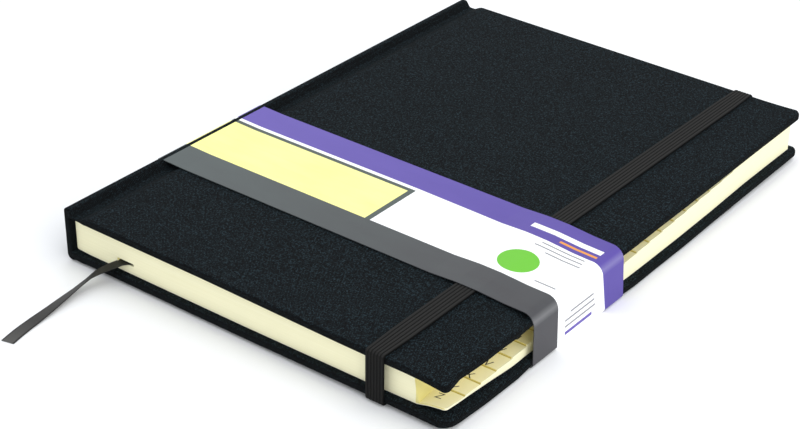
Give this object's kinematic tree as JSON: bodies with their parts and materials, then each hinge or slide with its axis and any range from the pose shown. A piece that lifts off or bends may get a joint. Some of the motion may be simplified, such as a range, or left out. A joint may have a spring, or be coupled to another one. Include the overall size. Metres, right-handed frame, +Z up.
{
  "type": "alphabetical index notebook",
  "caption": "Cloth-covered case-bound notebook with a stepped thumb index, an elastic closure strap, a ribbon marker and a paper band round it.",
  "frame": {"origin": "middle of the footprint, on the standing surface", "axes": "+Y along the spine from the tail to the head, +X from the spine to the fore edge, +Z up from the back cover to the front cover"},
  "size_m": [0.156, 0.2624, 0.0201],
  "materials": {
    "cover_cloth": "matt black woven book cloth",
    "greyboard": "plain grey binding board",
    "lining": "open-weave mull and kraft paper",
    "leaves": "uncoated cream paper, trimmed edges",
    "endpaper": "uncoated cream endpaper",
    "elastic": "ribbed woven elastic",
    "band_paper": "printed satin-coated paper",
    "ribbon": "narrow woven satin ribbon"
  },
  "bodies": {
    "book": {"cover_cloth": "cover_cloth", "front_board": "greyboard", "back_board": "greyboard", "spine_board": "greyboard", "spine_lining": "lining", "text_block": "leaves", "front_endpaper": "endpaper", "back_endpaper": "endpaper", "elastic_strap": "elastic", "ribbon_marker": "ribbon"},
    "band": {"belly_band": "band_paper"}
  },
  "joints": [
    {"name": "band_slide", "type": "slide", "parent": "book", "child": "band", "axis": [0, 1, 0], "range_m": [0, 0.178]}
  ]
}
